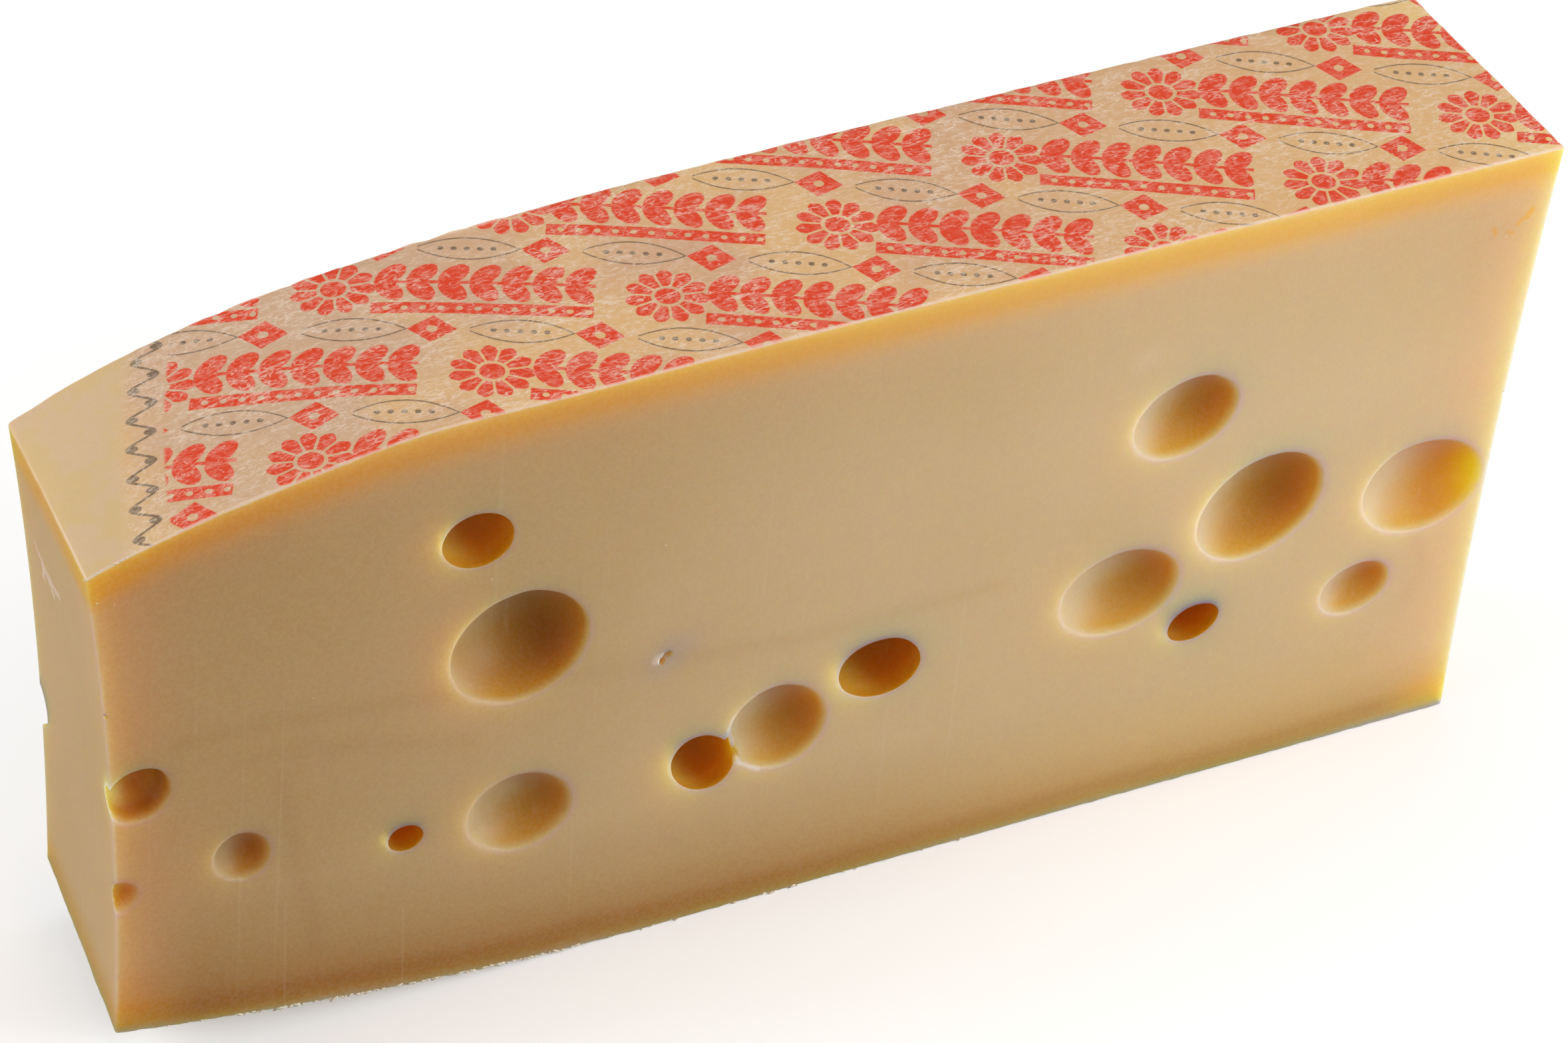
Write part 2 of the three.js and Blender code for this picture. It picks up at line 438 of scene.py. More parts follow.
def cut_eyes(block):
    """Takes all eyes and tears out of the block in one Boolean."""
    cutters = bpy.data.collections.new("cutters")
    for bm in all_cutters():
        cutters.objects.link(new_object("cutter", bm))
    cut = block.modifiers.new("eyes", "BOOLEAN")
    cut.operation = "DIFFERENCE"
    cut.solver = "MANIFOLD"
    cut.operand_type = "COLLECTION"
    cut.collection = cutters
    apply_modifiers(block)
    for cutter in list(cutters.objects):
        bpy.data.objects.remove(cutter)
    bpy.data.collections.remove(cutters)


# ---- what the surface of the block knows about its places ----

MM = 0.001
CORNER = Vector((cad_high.x - LENGTH * MM, cad_low.y, cad_low.z))
TO_FRAME = Matrix.Translation(CORNER) @ Matrix.Scale(MM, 4)
PASTE, FILM, RIND = range(3)
SURFACE_REACH = 0.9    # a point this near the rind still belongs to it
END_REACH = 0.5
WALL_REACH = 0.25      # a point further in than this lies on the wall of an eye
HALO_MIDDLE = (156.9, 90.3)
HALO_SPREAD = (8.0, 5.6)
HALO_TURN = math.radians(32)
HALO_DEPTH = 3.0
SMEAR_REACH = 2.6
SMEAR_DEPTH = 1.0

# Faint dents where a hand or a cloth drew over the front cut: how strong, then points along them.
SMEARS = [
    (0.8, [(26.9, 102.6), (53, 102), (80, 98.8), (137.6, 91), (192.6, 84.6), (248.6, 84.6)]),
    (0.7, [(44, 92.7), (70.6, 89), (103.1, 79.6)]),
    (0.9, [(53.8, 83.4), (60.9, 46.5), (65.3, 24.8)]),
    (0.6, [(371.3, 69.7), (378.4, 49.7), (373.4, 42.2)]),
    (0.35, [(376.4, 156.4), (378.2, 147.0), (379.1, 138.9)]),
    (0.3, [(389.0, 160.0), (383.0, 158.0), (377.0, 156.0)]),
]


SHADED_SIDE_RUN = (0.74, -0.67)  # the side of an eye away from the light, where its wall gets a painted golden shade
EYE_REACH = 1.2        # walls are looked for this far from an eye's middle, as a share of its size
CAVE_REACH = 1.12
CAVE_START = 0.25
FAR_AWAY = 99.0


def eye_facts(points, inner):
    """Each point's gap to a rim, its depth, side and height in an eye, and 1 in a cave."""
    facts = {name: np.zeros(len(points)) for name in ("eye_depth", "cave", "shaded_side", "eye_up")}
    facts["rim_gap"] = np.full(len(points), FAR_AWAY)
    for (_, _, wide, high, tilt, deep, sink), place in PLACED_EYES:
        inverse = np.array(place.inverted())
        across, up, depth = (points @ inverse[:3, :3].T + inverse[:3, 3:].T).T
        out = np.hypot(across / wide, up / high)
        turn = math.radians(tilt)
        run = across * (SHADED_SIDE_RUN[0] * math.cos(turn) + SHADED_SIDE_RUN[1] * math.sin(turn)) / wide
        run += up * (SHADED_SIDE_RUN[1] * math.cos(turn) - SHADED_SIDE_RUN[0] * math.sin(turn)) / high
        rise = (up * math.cos(turn) + across * math.sin(turn)) / high
        above_floor = inner & (depth < deep + 1)
        within = above_floor & (out < EYE_REACH) & (depth > 0)
        facts["shaded_side"][within] = run[within]
        facts["eye_up"][within] = rise[within]
        facts["eye_depth"][within] = np.maximum(depth, facts["eye_depth"])[within]
        gap = np.hypot((out - 1) * (wide + high) / 2, depth)
        facts["rim_gap"] = np.minimum(facts["rim_gap"], gap)
        if sink > CAVE_SINK:
            reach = CAVE_REACH / math.sqrt(1 - sink * sink)
            facts["cave"][above_floor & (out < reach) & (depth > CAVE_START)] = 1.0
    return facts


def line_gap(x, z, start, end):
    """Distance of points on the front cut from the straight line between two of them."""
    run = np.subtract(end, start)
    share = ((x - start[0]) * run[0] + (z - start[1]) * run[1]) / (run @ run)
    share = np.clip(share, 0, 1)
    return np.hypot(x - start[0] - share * run[0], z - start[1] - share * run[1])


def smear_at(x, y, z):
    """1 along the middle of each dent, fading out to both sides."""
    smear = np.zeros(len(x))
    for strength, trail in SMEARS:
        gap = np.min([line_gap(x, z, *pair) for pair in zip(trail, trail[1:])], axis=0)
        smear = np.maximum(smear, strength * np.exp(-((gap / SMEAR_REACH) ** 2)))
    return smear * (y < SMEAR_DEPTH)


def bruise_at(x, y, z):
    """1 at the pinhole, fading out in a slanting oval."""
    dx, dz = x - HALO_MIDDLE[0], z - HALO_MIDDLE[1]
    along = dx * math.cos(HALO_TURN) + dz * math.sin(HALO_TURN)
    over = dz * math.cos(HALO_TURN) - dx * math.sin(HALO_TURN)
    off = (along / HALO_SPREAD[0]) ** 2 + (over / HALO_SPREAD[1]) ** 2
    return np.exp(-off) * (y < HALO_DEPTH)


def note_places(mesh):
    """Stores where each point lies: its gaps to the rinds and corners, its place in the eyes."""
    flat = np.empty(3 * len(mesh.vertices), dtype=np.float32)
    mesh.vertices.foreach_get("co", flat)
    points = flat.reshape(-1, 3).astype(float)
    x, y, z = points.T
    gaps = gaps_at(x, y, z)
    sides = np.sort([gaps[side] for side in ("front", "back", "left", "right")], axis=0)
    ends = np.minimum(np.abs(gaps["left"]), np.abs(gaps["right"]))
    inner = np.min(list(gaps.values()), axis=0) > WALL_REACH
    places = {
        "top_gap": gaps["top"],
        "foot_gap": gaps["foot"],
        "side_gap": sides[0],
        "corner_gap": sides[1],
        "end_cut": ends < END_REACH,
        "wheel_share": wheel_radius(x, y) / WHEEL_RADIUS,
        "smear": smear_at(x, y, z),
        "bruise": bruise_at(x, y, z),
    }
    places.update(eye_facts(points, inner))
    for name, values in places.items():
        layer = mesh.attributes.new(name, "FLOAT", "POINT")
        layer.data.foreach_set("value", np.asarray(values, dtype=np.float32))


LEVEL_NORMAL = 0.55    # a face that looks up or down more than this may be film or rind
SHARP_ANGLE = math.radians(38)


def finish_of(face):
    gaps = gaps_at(*face.center)
    if face.normal.z > LEVEL_NORMAL and gaps["top"] < SURFACE_REACH:
        return FILM
    if face.normal.z < -LEVEL_NORMAL and gaps["foot"] < SURFACE_REACH:
        return RIND
    return PASTE


def make_block(finishes):
    block = new_object("cheese_block", plain_block())
    cut_eyes(block)
    mesh = block.data
    note_places(mesh)
    mesh.materials.clear()
    for finish in finishes:
        mesh.materials.append(finish)
    for face in mesh.polygons:
        face.material_index = finish_of(face)
        face.use_smooth = True
    mesh.set_sharp_from_angle(angle=SHARP_ANGLE)
    mesh.transform(TO_FRAME)
    return block


# ---- torn crumbs along the edges of the front cut ----

CRUMB_SEED = 41
CRUMB_LUMPS = (0.75, 1.25)
CRUMB_STRETCH = ((1.0, 2.6), (0.5, 0.9), (0.3, 0.7))
CRUMB_TURN = (0.6, 0.5, 0.4)
FOOT_CRUMBS = 190
FOOT_SPAN = (16.0, 250.0)
FOOT_CRUMB_SIZE = (0.22, 0.5)    # the smallest, and how much larger they may be
FOOT_CRUMB_RISE = (0.2, 0.5)
FOOT_CRUMB_IN = 0.1    # of its size
TORN_SHARE = 0.75      # of the foot's crumbs, those that lie where the knife tore it
TORN_SPREAD = 0.6 * TORN_FOOT_SPREAD
CORNER_CRUMBS = 22
CORNER_SPAN = (3.0, 11.0)        # where they start, and over what length they lie
CORNER_CRUMB_SIZE = (0.18, 0.3)
CORNER_CRUMB_DROP = 0.25
CORNER_CRUMB_IN = 0.3   # how far behind the cut its middle lies
SPECKS = [
    (394.6, 161.9), (386.1, 156.9), (153.4, 126.1), (61.5, 106.6),
    (107.0, 129.4), (10.3, 151.2), (6.0, 152.8),
]
SPECK_SIZE = 0.26
SPECK_SIZES = (0.8, 1.2)
SPECK_IN = 0.06


def crumb(bm, rng, spot, size):
    """A flat lump of torn curd."""
    made = bmesh.ops.create_icosphere(bm, subdivisions=1, radius=size)["verts"]
    for vert in made:
        vert.co *= rng.uniform(*CRUMB_LUMPS)
    stretch = [rng.uniform(*limits) for limits in CRUMB_STRETCH]
    bmesh.ops.scale(bm, verts=made, vec=stretch)
    turn = Euler([rng.uniform(-most, most) for most in CRUMB_TURN]).to_matrix()
    bmesh.ops.rotate(bm, verts=made, matrix=turn)
    bmesh.ops.translate(bm, verts=made, vec=spot)


def crumb_size(rng, smallest, more):
    """Most crumbs are small, and a few are larger."""
    return smallest + more * rng.random() ** 2


def make_crumbs(finish):
    rng = random.Random(CRUMB_SEED)
    bm = bmesh.new()
    for _ in range(FOOT_CRUMBS):
        if rng.random() < TORN_SHARE:
            x = max(FOOT_SPAN[0], rng.gauss(TORN_FOOT_X, TORN_SPREAD))
        else:
            x = rng.uniform(*FOOT_SPAN)
        size = crumb_size(rng, *FOOT_CRUMB_SIZE)
        rise = FOOT_CRUMB_RISE[0] + FOOT_CRUMB_RISE[1] * rng.random()
        crumb(bm, rng, Vector((x, FOOT_CRUMB_IN * size, bottom_at(x, 0) + rise)), size)
    for _ in range(CORNER_CRUMBS):
        x = CORNER_SPAN[0] + CORNER_SPAN[1] * rng.random()
        size = crumb_size(rng, *CORNER_CRUMB_SIZE)
        spot = Vector((x, CORNER_CRUMB_IN, top_at(x, 0) - CORNER_CRUMB_DROP))
        crumb(bm, rng, spot, size)
    for x, z in SPECKS:
        crumb(bm, rng, Vector((x, SPECK_IN, z)), SPECK_SIZE * rng.uniform(*SPECK_SIZES))
    crumbs = new_object("torn_crumbs", bm)
    crumbs.data.materials.append(finish)
    for face in crumbs.data.polygons:
        face.use_smooth = True
    crumbs.data.transform(TO_FRAME)
    return crumbs


# ---- small helpers for node trees ----


def add(tree, kind, **settings):
    node = tree.nodes.new(kind)
    for name, value in settings.items():
        setattr(node, name, value)
    return node


def feed(socket, value):
    if isinstance(value, bpy.types.NodeSocket):
        socket.id_data.links.new(value, socket)
    elif value is not None:
        socket.default_value = value


def set_sockets(node, settings):
    for name, value in settings.items():
        feed(node.inputs[name], value)


def add_fed(kind, values, **settings):
    """A node in the tree that the fed sockets belong to, with its first inputs fed."""
    tree = next(value.id_data for value in values if isinstance(value, bpy.types.NodeSocket))
    node = add(tree, kind, **settings)
    for socket, value in zip(node.inputs, values):
        feed(socket, value)
    return node


def calc(operation, *values):
    return add_fed("ShaderNodeMath", values, operation=operation).outputs[0]


def plus(a, b):
    return calc("ADD", a, b)


def minus(a, b):
    return calc("SUBTRACT", a, b)


def times(a, b):
    return calc("MULTIPLY", a, b)


def ratio(a, b):
    return calc("DIVIDE", a, b)


def apart(a, b):
    """How far two values lie from each other."""
    return calc("ABSOLUTE", minus(a, b))


def folded(operation, values):
    found = values[0]
    for value in values[1:]:
        found = calc(operation, found, value)
    return found


def least(*values):
    return folded("MINIMUM", values)


def largest(*values):
    return folded("MAXIMUM", values)


def vector_calc(operation, *values):
    node = add_fed("ShaderNodeVectorMath", values, operation=operation)
    return node.outputs["Value" if operation in ("DOT_PRODUCT", "DISTANCE") else "Vector"]


def fade(value, start, end, low=0.0, high=1.0):
    """low before start, high after end, and a smooth step between them."""
    values = (value, start, end, low, high)
    return add_fed("ShaderNodeMapRange", values, interpolation_type="SMOOTHSTEP").outputs[0]


def stored(tree, name):
    return add(tree, "ShaderNodeAttribute", attribute_name=name).outputs["Fac"]


def fade_by(tree, name, reach, low=0.0, high=1.0):
    """A fade over one of the places that the block has stored."""
    return fade(stored(tree, name), *reach, low, high)


def near(tree, name, reach, high=1.0):
    """high close by, and 0 past the reach."""
    return fade_by(tree, name, reach, high, 0.0)


def blend(share, first, second, mode="MIX"):
    colours = [None] * 5 + [first, second]     # a mix takes its colours in its last inputs
    node = add_fed("ShaderNodeMix", [share, *colours], data_type="RGBA", blend_type=mode)
    return node.outputs[2]


def tinted(share, colour, tint):
    return blend(share, colour, blend(1.0, colour, tint, "MULTIPLY"))


def band(gap, stops):
    """Tints laid out over a distance: stops are pairs of millimetres and a tint."""
    reach = stops[-1][0]
    node = add_fed("ShaderNodeValToRGB", [ratio(gap, reach)])
    elements = node.color_ramp.elements
    while len(elements) < len(stops):
        elements.new(1.0)
    for element, (distance, tint) in zip(elements, stops):
        element.position = distance / reach
        element.color = (*tint, 1)
    return node.outputs[0]


def object_point(tree):
    return add(tree, "ShaderNodeTexCoord").outputs["Object"]


def placed(vector, location=(0, 0, 0), turn=(0, 0, 0), scale=(1, 1, 1)):
    return add_fed("ShaderNodeMapping", (vector, location, turn, scale)).outputs[0]


def corner_point(tree):
    """Millimetres from the block's front left corner."""
    return placed(object_point(tree), location=-CORNER / MM, scale=(1 / MM,) * 3)


def cloud(vector, scale, detail, rough=0.5):
    return add_fed("ShaderNodeTexNoise", (vector, None, scale, detail, rough)).outputs["Fac"]


def split_plane(vector):
    split = add_fed("ShaderNodeSeparateXYZ", [vector])
    return split.outputs["X"], split.outputs["Y"]


def marks(spot, lines, soft, rough=None):
    """1 on any of some short lines, each given by its two ends and its half width."""
    gaps = []
    for start, end, half in lines:
        run = Vector(end) - Vector(start)
        along = run / run.length_squared
        reached = vector_calc("DOT_PRODUCT", spot, tuple(along))
        share = minus(reached, along.dot(Vector(start)))
        share.node.use_clamp = True
        nearest = vector_calc("MULTIPLY_ADD", share, tuple(run), start)
        gaps.append(minus(vector_calc("DISTANCE", spot, nearest), half))
    gap = least(*gaps)
    if rough is not None:
        gap = plus(gap, rough)
    return fade(gap, -soft, soft, 1.0, 0.0)


def new_group(name, inputs, outputs):
    group = bpy.data.node_groups.new(name, "ShaderNodeTree")
    for label, kind, value in inputs:
        socket = group.interface.new_socket(name=label, in_out="INPUT", socket_type=kind)
        socket.default_value = value
    for label, kind in outputs:
        group.interface.new_socket(name=label, in_out="OUTPUT", socket_type=kind)
    return group, add(group, "NodeGroupInput"), add(group, "NodeGroupOutput")


def use_group(tree, group, **values):
    node = add(tree, "ShaderNodeGroup", node_tree=group)
    for name, value in values.items():
        feed(node.inputs[name.replace("_", " ")], value)
    return node


def new_finish(name):
    finish = bpy.data.materials.new(name)
    finish.use_nodes = True
    tree = finish.node_tree
    tree.nodes.clear()
    shader = add(tree, "ShaderNodeBsdfPrincipled")
    output = add(tree, "ShaderNodeOutputMaterial")
    feed(output.inputs[0], shader.outputs[0])
    return finish, tree, shader


def raise_surface(shader, height, strength, distance):
    bump = add(shader.id_data, "ShaderNodeBump")
    set_sockets(bump, {"Height": height, "Strength": strength, "Distance": distance})
    feed(shader.inputs["Normal"], bump.outputs[0])


# ---- effects that several finishes share ----

FLOAT = "NodeSocketFloat"


def make_mottle():
    """Soft clouds of tone, and the fine grain of pressed curd."""
    group, given, out = new_group(
        "curd mottle",
        [("Cloud Scale", FLOAT, 14.0), ("Grain Scale", FLOAT, 900.0)],
        [("Cloud", FLOAT), ("Grain", FLOAT)],
    )
    point = object_point(group)
    feed(out.inputs["Cloud"], cloud(point, given.outputs["Cloud Scale"], 2.0, 0.55))
    feed(out.inputs["Grain"], cloud(point, given.outputs["Grain Scale"], 1.0, 0.6))
    return group


HAIR_TURNS = (0.5, 1.55, 2.6)
HAIR_STRETCH = (0.3, 1.0, 1.0)
HAIR_WIDTH = (0.012, 0.035)
HAIR_BREAK_SCALE = 410.0
HAIR_BREAKS = (0.50, 0.56)
STROKE_TURN = 2.45
STROKE_STRETCH = (0.07, 1.0, 1.0)
STROKE_SCALE = 900.0
STROKES = (0.78, 0.84)
PATCH_SCALE = 45.0
PATCHES = (0.3, 0.7, 0.35, 1.0)
FROST = (0.42, 0.68)


def make_fibres():
    """The thin film's matted hairs, the frosty patches between them and a few long strokes."""
    group, given, out = new_group(
        "film fibres",
        [("Hair Scale", FLOAT, 700.0), ("Frost Scale", FLOAT, 600.0)],
        [("Hairs", FLOAT), ("Frost", FLOAT)],
    )
    point = object_point(group)
    hairs = []
    for turn in HAIR_TURNS:
        spot = placed(point, turn=(0, 0, turn), scale=HAIR_STRETCH, location=(turn, 0, 0))
        off = apart(cloud(spot, given.outputs["Hair Scale"], 1.0), 0.5)
        broken = fade(cloud(spot, HAIR_BREAK_SCALE, 0.0), *HAIR_BREAKS)
        hairs.append(times(fade(off, *HAIR_WIDTH, 1.0, 0.0), broken))
    stretched = placed(point, turn=(0, 0, STROKE_TURN), scale=STROKE_STRETCH)
    hairs.append(fade(cloud(stretched, STROKE_SCALE, 0.0), *STROKES))
    patch = fade(cloud(point, PATCH_SCALE, 2.0, 0.6), *PATCHES)
    frost = fade(cloud(point, given.outputs["Frost Scale"], 2.0, 0.65), *FROST)
    feed(out.inputs["Hairs"], times(largest(*hairs), patch))
    feed(out.inputs["Frost"], times(frost, patch))
    return group


# ---- the cut paste ----

PASTE_CORE = (0.72, 0.53, 0.30, 1)
# the paste towards the wheel's rim is darker: a painted shade for the light falling off to the
# left
PASTE_RIM_AND_SHADE = (0.545, 0.345, 0.15, 1)
PASTE_DARKER = (0.96, 0.93, 0.87, 1)
# painted shade: caves are coloured a dark amber up to their rims
CAVE_DEEP_SHADE = (0.65, 0.345, 0.02, 1)
CAVE_MOUTH_SHADE = (0.52, 0.22, 0.003, 1)
# painted shade and glow inside bowls: gold away from the light, brighter gold by thin walls, a
# browner core
BOWL_SHADE_GOLD = (0.95, 0.72, 0.16, 1)
BOWL_THIN_WALL_GLOW = (1.0, 0.95, 0.10, 1)
BOWL_CORE_SHADE = (0.90, 0.76, 0.50, 1)
# painted glow in eyes near the left corners, for light through their thin walls
CORNER_EYE_DEEP_LIGHT = (1.03, 1.30, 1.05, 1)
CORNER_EYE_MOUTH_GLOW = (0.84, 0.76, 0.20, 1)
# painted glow: the film near the block's corners, for light through the thin corners
FILM_CORNER_GLOW = (0.80, 0.57, 0.24, 1)
# painted light: thin corners, sharp edges and the outer end cut are coloured paler
CORNER_PAINTED_LIGHT = (1.0, 0.94, 1.25, 1)
EDGE_HIGHLIGHT = (1.02, 1.08, 1.30, 1)
END_CUT_PAINTED_LIGHT = (1.02, 1.07, 1.18, 1)
# painted highlight on the lit side of eye rims
RIM_HIGHLIGHT = (1.0, 0.94, 1.18, 1)
FILM_EDGE = (0.74, 0.52, 0.38, 1)
BRUISE = (0.50, 0.37, 0.30, 1)
TORN_LILAC = (0.74, 0.55, 0.45, 1)
CRACK_ORANGE = (0.72, 0.42, 0.10, 1)
SCRATCH_PALE = (0.88, 0.74, 0.55, 1)
SMEAR_TINT = (0.95, 0.92, 0.88, 1)

# painted glow: an amber band under the film for light coming down through the top edge, stronger
# near the outer corners
UNDER_FILM_GLOW = [
    (0.0, (1.0, 0.86, 0.66)), (1.3, (1.03, 0.86, 0.50)), (2.6, (1.05, 0.87, 0.40)),
    (6.5, (1.05, 0.88, 0.42)), (9.5, (1.02, 0.94, 0.71)), (13.5, (0.95, 0.95, 0.92)),
    (60.0, (1, 1, 1)),
]
UNDER_CORNER_GLOW = [
    (0.0, (1.03, 0.95, 0.74)), (1.3, (1.06, 0.96, 0.46)), (2.6, (1.09, 0.97, 0.32)),
    (7.5, (1.09, 0.97, 0.32)), (10.0, (1.04, 0.96, 0.66)), (13.5, (1, 1, 1)),
]
# over the foot: a browner band, partly the rind's own colour and partly painted shade towards the
# foot
FOOT_RIND_AND_SHADE = [
    (0.0, (0.86, 0.56, 0.90)), (1.6, (0.73, 0.48, 0.34)), (3.2, (0.63, 0.43, 0.19)),
    (6.5, (0.63, 0.43, 0.20)), (11.0, (0.75, 0.61, 0.41)), (20.0, (0.86, 0.78, 0.64)),
    (42.0, (1, 1, 1)),
]
FOOT_RIGHT_RIND_AND_SHADE = [
    (0.0, (1.10, 0.82, 1.30)), (1.6, (0.98, 0.70, 0.56)), (3.2, (0.85, 0.58, 0.30)),
    (6.5, (0.80, 0.59, 0.32)), (11.0, (0.92, 0.79, 0.56)), (20.0, (1.0, 0.94, 0.80)),
    (36.0, (1, 1, 1)),
]
# at the foot's corners the rind's brown carries a painted amber glow
FOOT_CORNER_RIND_AND_GLOW = [
    [
        (0.0, (1.40, 0.88, 1.40)), (1.6, (1.36, 0.84, 0.62)), (3.2, (1.20, 0.80, 0.27)),
        (8.0, (1.12, 0.80, 0.31)), (14.0, (1.0, 0.88, 0.66)), (24.0, (1, 1, 1)),
    ],
    [
        (0.0, (1.08, 0.86, 2.00)), (1.6, (1.08, 0.78, 0.80)), (3.2, (1.08, 0.74, 0.24)),
        (8.0, (1.03, 0.76, 0.26)), (14.0, (1.0, 0.88, 0.66)), (24.0, (1, 1, 1)),
    ],
]
END_FOOT_RIND_AND_SHADE = [
    (0.0, (1.08, 0.90, 0.85)), (1.4, (1.05, 0.80, 0.55)), (3.0, (1.03, 0.76, 0.40)),
    (6.0, (1.03, 0.80, 0.46)), (10.0, (1.0, 0.92, 0.78)), (15.0, (1, 1, 1)),
]

# Lines: two ends and a half width, in millimetres.
CRACKS = [
    ((392.9, 0, 163.3), (391.6, 0, 161.5), 0.9),
    ((390.6, 0, 161.2), (389.3, 0, 160.0), 0.6),
    ((382.2, 0, 160.2), (382.9, 0, 158.2), 0.6),
    ((386.6, 0, 158.2), (388.3, 0, 157.4), 0.4),
]
SMUDGES = [((283.0, 0, 145.4), (285.4, 0, 147.0), 2.4)]
DRAG_LINES = [
    ((56.1, 0, 42.0), (56.9, 0, 4.0), 0.28),
    ((87.9, 0, 30.0), (88.7, 0, 5.0), 0.24),
    ((133.0, 0, 52.0), (133.9, 0, 14.0), 0.20),
    ((10.6, 34.7, 125.5), (9.6, 26.4, 126.9), 0.16),
]
LEFT_SMEAR = [
    ((12.7, 56.0, 125.2), (12.2, 50.5, 124.6), 0.9),
    ((12.2, 50.5, 124.4), (12.8, 50.6, 119.5), 1.5),
    ((12.2, 49.5, 123.6), (11.5, 42.5, 123.6), 1.6),
    ((11.5, 42.3, 123.6), (11.7, 42.2, 121.6), 1.5),
    ((11.5, 42.3, 124.2), (10.7, 35.6, 125.6), 1.0),
]
TORN_WALL = [
    ((176.6, 0, 64.0), (174.6, 0, 57.7), 0.7),
    ((174.6, 0, 57.7), (176.2, 0.6, 52.2), 1.5),
    ((176.2, 0.6, 52.2), (179.7, 0, 48.4), 1.4),
    ((179.7, 0, 48.4), (184.5, 0, 44.2), 0.8),
    ((177.4, 3.2, 57.4), (178.4, 4.0, 52.0), 1.1),
]
PIT_FLAP = [((153.3, 0, 89.6), (153.9, 0, 90.2), 1.3)]

# Marks drawn as lines: the lines, how soft their sides are, their share and their colour.
LINE_MARKS = [
    (DRAG_LINES, 0.18, 0.065, SCRATCH_PALE),
    (CRACKS, 0.45, 0.85, CRACK_ORANGE),
    (TORN_WALL + PIT_FLAP, 0.6, 0.8, TORN_LILAC),
]
BRUISE_SHARE = 0.62
LEFT_SMEAR_SOFT = 0.45
LEFT_SMEAR_SHARE = 0.62
LEFT_SMEAR_RAGGED = 5.0
SMUDGE_SOFT = 3.0
SMUDGE_SHARE = 0.16

# From where to where looks give way to each other, in shares of the wheel's radius...
PASTE_SHADES_OUTWARD = (0.25, 0.84)
BANDS_DARKEN = (0.27, 0.50)
OUTER_PART = (0.3, 0.5)
# ...in millimetres...
TOP_CORNER = (8.0, 28.0)
FOOT_CORNER = (4.0, 24.0)
INLAND = (18.0, 34.0)
THIN_WALL = (3.0, 14.0)
THIN_CORNER = (0.3, 5.0)
SHARP_CORNER = (0.3, 1.6)
UNDER_TOP_EDGE = (0.15, 0.7)
BOWL_GILDS = (0.0, 2.8)
BOWL_DARKENS = (2.0, 10.0)
CORNER_EYE_STARTS = (1.2, 4.0)
CORNER_EYE_DEEPENS = (4.0, 7.2)
CAVE_GILDS = (0.5, 6.0)
EYE_RIM = (0.3, 2.0)
# ...and in shares of an eye's size, from its middle.
SHADED_SIDE_SPAN = (-0.2, 0.5)
RIM_LIT_SIDE = (0.0, 0.6)
LOWER_PART = (-0.4, 0.3)

SHADED_SIDE_LEAST = 0.05
UPPER_LEAST = 0.1
FILM_EDGE_SHARE = 0.7


def tint_bands(tree, colour, ragged):
    """An amber band under the film, a painted glow, and a browner band over the foot, partly rind
    colour and partly painted shade.
    """
    outward = fade_by(tree, "wheel_share", BANDS_DARKEN)
    # under the film: a painted amber glow
    under = plus(stored(tree, "top_gap"), ragged)
    corner = times(outward, near(tree, "corner_gap", TOP_CORNER))
    tints = blend(corner, band(under, UNDER_FILM_GLOW), band(under, UNDER_CORNER_GLOW))
    colour = blend(1.0, colour, tints, "MULTIPLY")
    # over the foot: rind colour and painted shade, with a painted glow at the corners
    over = plus(stored(tree, "foot_gap"), ragged)
    tints = blend(outward, band(over, FOOT_RIGHT_RIND_AND_SHADE), band(over, FOOT_RIND_AND_SHADE))
    corners = [band(over, stops) for stops in FOOT_CORNER_RIND_AND_GLOW]
    corner = near(tree, "corner_gap", FOOT_CORNER)
    tints = blend(corner, tints, blend(outward, *corners))
    tints = blend(stored(tree, "end_cut"), tints, band(over, END_FOOT_RIND_AND_SHADE))
    return blend(1.0, colour, tints, "MULTIPLY")


def paint_bowl_shade(tree, colour, outer, inland):
    """Painted shade and glow in the bowls: golden as they deepen, most on the side away from the
    light and by thin walls, and browner towards their floors.
    """
    thin = times(near(tree, "corner_gap", THIN_WALL), minus(1.0, outer))
    gold = blend(thin, BOWL_SHADE_GOLD, BOWL_THIN_WALL_GLOW)
    deep = fade_by(tree, "eye_depth", BOWL_GILDS)
    deep = times(deep, fade_by(tree, "shaded_side", SHADED_SIDE_SPAN, SHADED_SIDE_LEAST))
    colour = tinted(deep, colour, gold)
    core = times(fade_by(tree, "eye_depth", BOWL_DARKENS), inland)
    core = times(core, fade_by(tree, "shaded_side", SHADED_SIDE_SPAN, outer))
    core = times(core, fade_by(tree, "eye_up", LOWER_PART, 1.0, UPPER_LEAST))
    return tinted(core, colour, BOWL_CORE_SHADE)


def paint_corner_eye_glow(tree, colour, outer, inland):
    """Painted glow in eyes near the left corners, for light through their thin walls: amber at the
    mouth and clearer where they are deepest.
    """
    corner = times(minus(1.0, inland), outer)
    corner = times(corner, fade_by(tree, "eye_depth", CORNER_EYE_STARTS))
    slope = fade_by(tree, "eye_depth", CORNER_EYE_DEEPENS)
    return tinted(corner, colour, blend(slope, CORNER_EYE_MOUTH_GLOW, CORNER_EYE_DEEP_LIGHT))


